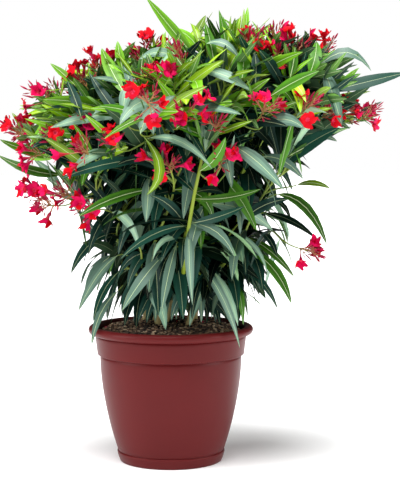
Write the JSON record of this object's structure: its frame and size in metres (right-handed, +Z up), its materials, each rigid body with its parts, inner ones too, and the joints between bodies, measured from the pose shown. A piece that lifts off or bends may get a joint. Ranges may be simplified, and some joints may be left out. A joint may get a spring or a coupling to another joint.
{
  "type": "potted oleander",
  "caption": "Flowering oleander shrub with lance-shaped leaves and red blossom, growing as a clump of canes in a bell-shaped plastic pot.",
  "frame": {"origin": "centre of the pot's flat underside", "axes": "+Z up along the pot's axis; +X to the side that the crown leans to; +Y to the back of the plant"},
  "size_m": [0.7366, 0.6745, 0.853],
  "materials": {
    "pot": "satin maroon plastic",
    "soil": "loose dark potting mix",
    "bark": "smooth grey-brown bark",
    "green_stem": "smooth green bark",
    "leaf": "leathery, faintly glossy",
    "petal": "soft and matte"
  },
  "bodies": {
    "root": {"pot": "pot", "soil": "soil", "stem_1": "bark", "stem_2": "bark", "stem_3": "bark", "stem_4": "bark", "stem_5": "bark", "stem_6": "bark", "stem_7": "bark", "stem_8": "bark", "bough_1_inner": "green_stem", "bough_1_outer": "green_stem", "bough_2_inner": "green_stem", "bough_2_outer": "green_stem", "bough_3_inner": "green_stem", "bough_3_outer": "green_stem", "bough_4_inner": "green_stem", "bough_4_outer": "green_stem", "bough_5_inner": "green_stem", "bough_5_outer": "green_stem", "bough_6_inner": "green_stem", "bough_6_outer": "green_stem", "bough_7_inner": "green_stem", "bough_7_outer": "green_stem", "bough_8_inner": "green_stem", "bough_8_outer": "green_stem", "foliage_1_top": "leaf", "foliage_1_outer": "leaf", "foliage_1_side": "leaf", "foliage_1_skirt": "leaf", "foliage_2_top": "leaf", "foliage_2_outer": "leaf", "foliage_2_side": "leaf", "foliage_2_skirt": "leaf", "foliage_3_top": "leaf", "foliage_3_outer": "leaf", "foliage_3_side": "leaf", "foliage_3_skirt": "leaf", "foliage_4_top": "leaf", "foliage_4_outer": "leaf", "foliage_4_side": "leaf", "foliage_4_skirt": "leaf", "foliage_5_top": "leaf", "foliage_5_outer": "leaf", "foliage_5_side": "leaf", "foliage_5_skirt": "leaf", "foliage_6_top": "leaf", "foliage_6_outer": "leaf", "foliage_6_side": "leaf", "foliage_6_skirt": "leaf", "foliage_7_top": "leaf", "foliage_7_outer": "leaf", "foliage_7_side": "leaf", "foliage_7_skirt": "leaf", "foliage_8_top": "leaf", "foliage_8_outer": "leaf", "foliage_8_side": "leaf", "foliage_8_skirt": "leaf"}
  },
  "joints": []
}
